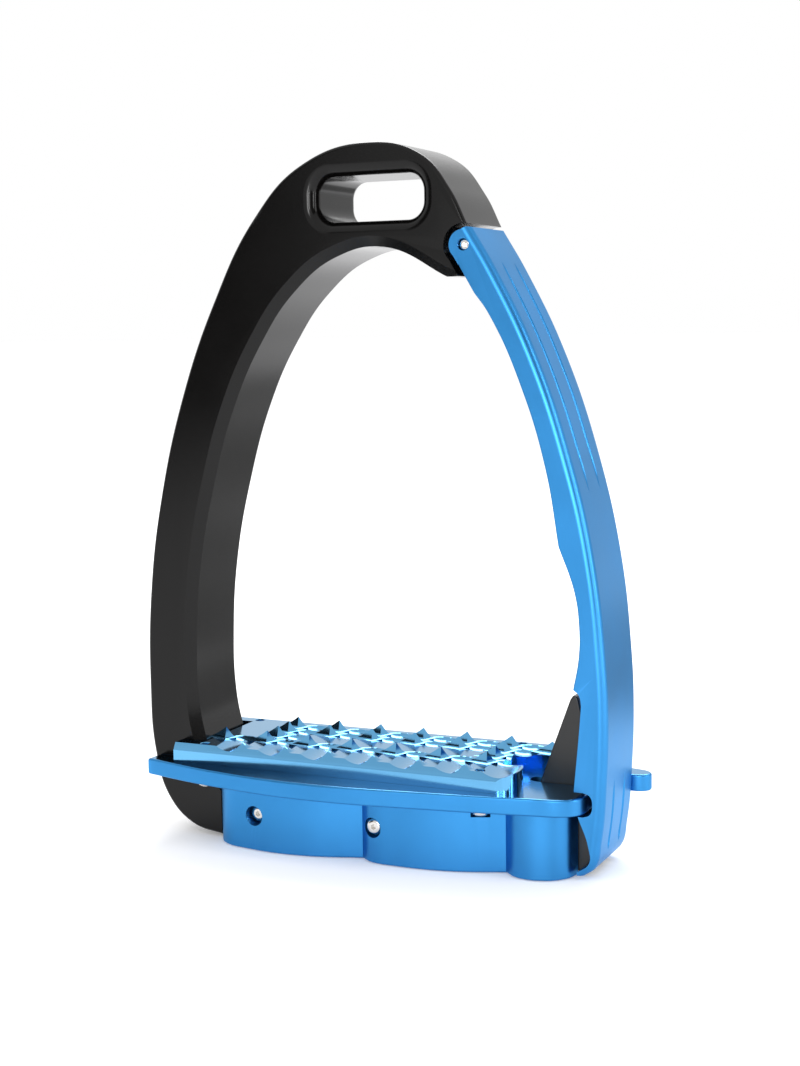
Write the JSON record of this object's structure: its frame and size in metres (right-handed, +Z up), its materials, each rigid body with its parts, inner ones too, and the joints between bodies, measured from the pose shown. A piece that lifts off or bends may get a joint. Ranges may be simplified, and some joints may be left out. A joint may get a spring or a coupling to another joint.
{
  "type": "safety stirrup iron",
  "caption": "Tall arched stirrup iron with a leather slot in its crown, a spiked foot tread on a broad base, and a side arm that swings outward when a release lever is pressed.",
  "frame": {"origin": "on the ground under the middle of the foot opening, halfway through the depth of the arch", "axes": "+X towards the arm that opens, +Y towards the back of the tread, +Z up through the leather slot"},
  "size_m": [0.1385, 0.0548, 0.1892],
  "materials": {
    "black_anodised": "gloss black anodised, machined",
    "blue_anodised": "satin blue anodised, bead blasted",
    "tread_blue": "bright blue anodised, machined",
    "stainless_steel": "polished stainless steel",
    "lever_black": "semi-gloss black",
    "bronze_bush": "plain bronze",
    "rubber": "matt black rubber"
  },
  "bodies": {
    "arch": {"frame": "black_anodised", "base": "blue_anodised", "tread_insert": "tread_blue", "hinge_bush_front": "bronze_bush", "hinge_bush_rear": "bronze_bush", "cross_screw_1": "stainless_steel", "cross_screw_2": "stainless_steel", "cross_nut_1": "stainless_steel", "cross_nut_2": "stainless_steel", "tread_screw_1": "stainless_steel", "tread_screw_2": "stainless_steel", "tread_screw_3": "stainless_steel", "tread_screw_4": "stainless_steel", "lever_pivot_pin": "stainless_steel", "lever_spring": "stainless_steel"},
    "arm": {"opening_arm": "blue_anodised", "hinge_pin": "stainless_steel", "hinge_nut": "stainless_steel", "arm_buffer": "rubber"},
    "lever": {"release_lever": "lever_black"}
  },
  "joints": [
    {"name": "arm_swing", "type": "hinge", "parent": "arch", "child": "arm", "pos_m": [0.0311, 0, 0.1622], "axis": [0, -1, 0], "range_deg": [0, 90]},
    {"name": "lever_tilt", "type": "hinge", "parent": "arch", "child": "lever", "pos_m": [0.0536, 0, 0.0086], "axis": [0, 1, 0], "range_deg": [0, 8], "stiffness_Nm_per_rad": 0.05, "springref_deg": -11.46}
  ]
}
